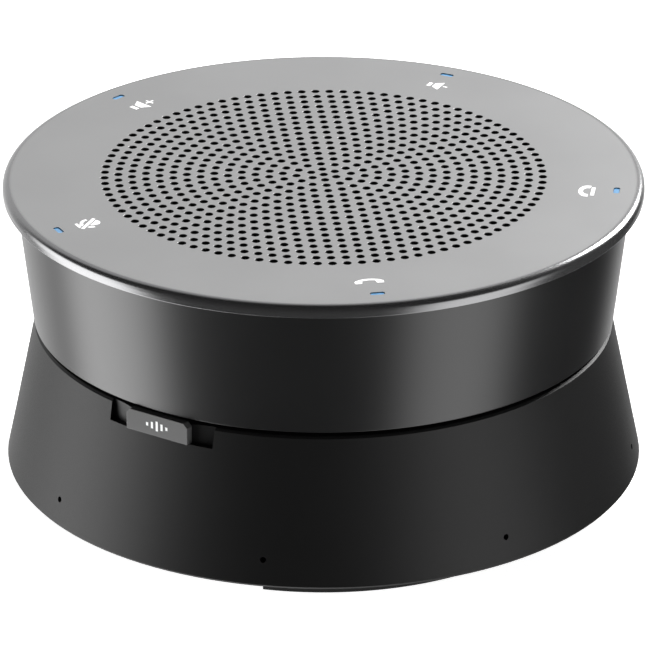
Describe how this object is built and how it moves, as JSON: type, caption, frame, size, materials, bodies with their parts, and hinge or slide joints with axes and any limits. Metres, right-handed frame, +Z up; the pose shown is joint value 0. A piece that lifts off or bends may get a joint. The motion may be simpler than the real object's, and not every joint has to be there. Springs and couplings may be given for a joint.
{
  "type": "conference speakerphone",
  "caption": "Round waisted speakerphone with a perforated top, touch keys with lit windows, a badge plate in a recess at the waist and microphone ports round the base.",
  "frame": {"origin": "on the table under the centre of the round body", "axes": "+Z up; -Y points at the badge plate and the cable way"},
  "size_m": [0.1304, 0.1304, 0.0682],
  "materials": {
    "cap_paint": "fine satin paint",
    "shell_paint": "satin black anodised",
    "base_plastic": "fine matt texture",
    "pan_plastic": "moulded texture",
    "rubber_black": "matt",
    "badge_black": "satin",
    "blue_light": "frosted, lit from below",
    "cloth_black": "acoustic weave",
    "frame_plastic": "moulded",
    "driver_steel": "black coat",
    "zinc_steel": "zinc plated",
    "ferrite": "fired ceramic",
    "cone_paper": "pressed fibre",
    "copper_coil": "enamelled wire",
    "spider_cloth": "resin-coated weave",
    "board_green": "solder mask",
    "chip_black": "epoxy",
    "tin_steel": "tinned",
    "led_yellow": "phosphor",
    "foam_grey": "closed cell foam",
    "ribbon_amber": "polyimide film",
    "socket_ivory": "nylon",
    "cell_foil": "laminated foil",
    "wire_red": "silicone insulation",
    "tag_board": "phenolic"
  },
  "bodies": {
    "body": {"top_cap": "cap_paint", "acoustic_cloth": "cloth_black", "light_guides": "blue_light", "touch_leds": "led_yellow", "touch_pads": "foam_grey", "touch_board": "board_green", "top_carrier": "frame_plastic", "upper_shell": "shell_paint", "cap_screws": "zinc_steel", "driver_gasket": "foam_grey", "driver_basket": "driver_steel", "driver_surround": "rubber_black", "driver_spider": "spider_cloth", "front_pole_plate": "zinc_steel", "driver_magnet": "ferrite", "pole_yoke": "zinc_steel", "driver_screws": "zinc_steel", "driver_terminals": "tag_board", "speaker_leads": "wire_red", "lead_grommet": "rubber_black", "driver_chamber": "frame_plastic", "touch_ribbon": "ribbon_amber", "waist_gasket": "rubber_black", "waist_screws": "zinc_steel", "lower_shell": "base_plastic", "badge_plate": "badge_black", "mic_gaskets": "rubber_black", "mic_boards": "board_green", "mic_capsules": "tin_steel", "mic_ribbons": "ribbon_amber", "base_plate": "pan_plastic", "rubber_foot": "rubber_black", "base_screws": "zinc_steel", "main_board": "board_green", "board_chips": "chip_black", "shield_cans": "tin_steel", "board_capacitors": "tin_steel", "board_sockets": "socket_ivory", "board_screws": "zinc_steel", "battery_pad": "foam_grey", "battery_pack": "cell_foil", "battery_strap": "zinc_steel", "strap_screws": "zinc_steel", "battery_leads": "wire_red", "port_board": "board_green", "port_screws": "zinc_steel", "port_ribbon": "ribbon_amber", "usb_socket": "tin_steel", "audio_jack": "chip_black", "power_switch": "chip_black"},
    "driver_cone": {"driver_cone": "cone_paper", "dust_cap": "cone_paper", "voice_coil": "copper_coil"},
    "power_key": {"power_key": "pan_plastic"}
  },
  "joints": [
    {"name": "cone_travel", "type": "slide", "parent": "body", "child": "driver_cone", "axis": [0, 0, 1], "range_m": [-0.002, 0.002], "stiffness_N_per_m": 1500, "deforming": ["driver_surround", "driver_spider"]},
    {"name": "power_press", "type": "slide", "parent": "body", "child": "power_key", "axis": [0, 1, 0], "range_m": [0, 0.0005], "stiffness_N_per_m": 1500, "springref_m": -0.0006}
  ]
}
